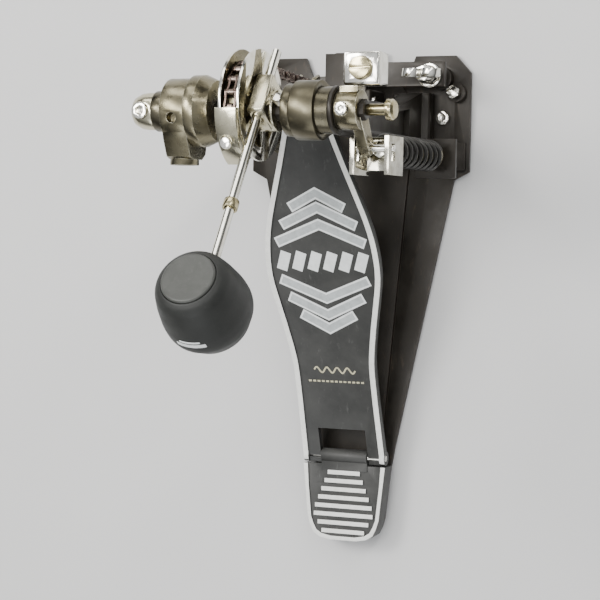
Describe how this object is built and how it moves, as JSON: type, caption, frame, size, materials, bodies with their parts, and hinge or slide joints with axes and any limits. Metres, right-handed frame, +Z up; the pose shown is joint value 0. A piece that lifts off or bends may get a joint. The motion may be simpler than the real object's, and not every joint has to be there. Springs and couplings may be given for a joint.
{
  "type": "bass drum pedal",
  "caption": "Single bass drum pedal with hinged footboard, heel plate, chain drive over a cam, swinging beater, return spring and hoop clamp.",
  "frame": {"origin": "on the floor, under the axle, on the footboard's centre line", "axes": "+X to the player's right along the axle, +Y towards the drum, +Z up"},
  "size_m": [0.176, 0.3415, 0.3175],
  "materials": {
    "aged_nickel": "satin, aged nickel plate with an olive tint",
    "chrome": "bright, slightly worn",
    "brass": "pale golden, satin",
    "dark_steel": "black paint, worn to brown",
    "black_paint": "matte black with a light edge line",
    "chain_steel": "dark oiled steel",
    "spring_steel": "dark steel wire",
    "rubber": "matte",
    "beater_felt": "dense dark grey, matte",
    "beater_plastic": "light grey, fine texture"
  },
  "bodies": {
    "root": {"base_plate": "dark_steel", "centre_pad": "rubber", "left_front_pad": "rubber", "right_front_pad": "rubber", "heel_pad": "rubber", "left_base_screw": "chrome", "right_base_screw": "chrome", "left_post": "aged_nickel", "right_post": "dark_steel", "left_bearing": "aged_nickel", "right_bearing": "aged_nickel", "right_seal_ring": "dark_steel", "heel_plate": "black_paint", "heel_hinge_pin": "chrome", "clamp_bracket": "dark_steel", "clamp_pin": "chrome", "clamp_lower_jaw": "dark_steel", "clamp_lower_pad": "rubber", "spring_bracket": "dark_steel", "tension_rod": "aged_nickel", "spring": "spring_steel"},
    "footboard": {"footboard": "black_paint", "toe_clevis": "aged_nickel", "toe_pin": "chrome", "toe_screw": "dark_steel"},
    "strand": {"chain_strand": "chain_steel"},
    "axle": {"hex_axle": "dark_steel", "axle_collar": "dark_steel", "axle_cap": "chrome", "cap_screw": "chrome", "axle_end_bolt": "brass", "cam": "aged_nickel", "cam_chain": "chain_steel", "chain_anchor": "aged_nickel", "anchor_screw": "chrome", "beater_hub": "aged_nickel", "hub_bolt": "chrome", "rocker": "aged_nickel", "rocker_set_screw": "chrome", "rocker_pin": "chrome", "rocker_block": "chrome", "block_screw": "brass"},
    "link_4": {"chain_link_4": "chain_steel"},
    "link_3": {"chain_link_3": "chain_steel"},
    "link_2": {"chain_link_2": "chain_steel"},
    "link_1": {"chain_link_1": "chain_steel"},
    "spring_top": {"stirrup": "chrome", "stirrup_nut": "chrome"},
    "beater": {"beater_rod": "chrome", "memory_collar": "brass", "beater_head": "beater_felt", "beater_face": "beater_plastic"},
    "clamp_jaw": {"clamp_upper_jaw": "dark_steel", "clamp_upper_pad": "rubber", "wing_washer": "chrome"},
    "wing_bolt": {"wing_bolt": "chrome"},
    "tension_nut": {"tension_nut": "aged_nickel"},
    "left_spur": {"left_spur": "chrome"},
    "right_spur": {"right_spur": "chrome"}
  },
  "joints": [
    {"name": "footboard_hinge", "type": "hinge", "parent": "root", "child": "footboard", "pos_m": [0, -0.2295, 0.02], "axis": [1, 0, 0], "range_deg": [-7.85, 0], "stiffness_Nm_per_rad": 18, "springref_deg": 16.04},
    {"name": "axle_turn", "type": "hinge", "parent": "root", "child": "axle", "pos_m": [0, 0, 0.2], "axis": [1, 0, 0], "range_deg": [-71.35, 0.05]},
    {"name": "chain_strand_swing", "type": "hinge", "parent": "footboard", "child": "strand", "pos_m": [0.00175, 0.02347, 0.107], "axis": [1, 0, 0], "range_deg": [-0.05, 12.99]},
    {"name": "chain_link_4_bend", "type": "hinge", "parent": "axle", "child": "link_4", "pos_m": [0.00175, 0.00914, 0.227], "axis": [1, 0, 0], "range_deg": [-0.05, 10.96]},
    {"name": "chain_link_3_bend", "type": "hinge", "parent": "link_4", "child": "link_3", "pos_m": [0.00175, 0.01696, 0.2229], "axis": [1, 0, 0], "range_deg": [-0.05, 17.88]},
    {"name": "chain_link_2_bend", "type": "hinge", "parent": "link_3", "child": "link_2", "pos_m": [0.00175, 0.02316, 0.21661], "axis": [1, 0, 0], "range_deg": [-0.05, 17.88]},
    {"name": "chain_link_1_bend", "type": "hinge", "parent": "link_2", "child": "link_1", "pos_m": [0.00175, 0.02713, 0.20872], "axis": [1, 0, 0], "range_deg": [-0.05, 17.88]},
    {"name": "spring_stretch", "type": "slide", "parent": "root", "child": "spring_top", "axis": [0, 0, 1], "range_m": [-0.0001, 0.03157], "deforming": ["spring"]},
    {"name": "beater_height", "type": "slide", "parent": "axle", "child": "beater", "axis": [0, -0.8261, 0.5635], "range_m": [-0.02, 0.025]},
    {"name": "hoop_clamp_jaw", "type": "hinge", "parent": "root", "child": "clamp_jaw", "pos_m": [0, 0.018, 0.031], "axis": [1, 0, 0], "range_deg": [0, 12]},
    {"name": "wing_bolt_turn", "type": "hinge", "parent": "root", "child": "wing_bolt", "pos_m": [0.061, 0.034, 0.007], "axis": [0, 0, 1], "range_deg": [-0.05, 360.05]},
    {"name": "spring_tension_nut", "type": "hinge", "parent": "root", "child": "tension_nut", "pos_m": [0.076, -0.02194, 0.05], "axis": [0, 0, 1], "range_deg": [-180, 180]},
    {"name": "left_spur_screw", "type": "slide", "parent": "root", "child": "left_spur", "axis": [0, 0, 1], "range_m": [0, 0.006]},
    {"name": "right_spur_screw", "type": "slide", "parent": "root", "child": "right_spur", "axis": [0, 0, 1], "range_m": [0, 0.006]}
  ],
  "couplings": [
    {"joint": "axle_turn", "follows": "footboard_hinge", "ratio": 9.0828},
    {"joint": "chain_strand_swing", "follows": "footboard_hinge", "ratio": -1.6491},
    {"joint": "chain_link_4_bend", "follows": "footboard_hinge", "ratio": -1.3903},
    {"joint": "chain_link_3_bend", "follows": "footboard_hinge", "ratio": -2.2707},
    {"joint": "chain_link_2_bend", "follows": "footboard_hinge", "ratio": -2.2707},
    {"joint": "chain_link_1_bend", "follows": "footboard_hinge", "ratio": -2.2707},
    {"joint": "spring_stretch", "follows": "footboard_hinge", "m_per_rad": -0.22972},
    {"joint": "wing_bolt_turn", "follows": "hoop_clamp_jaw", "ratio": 30}
  ]
}
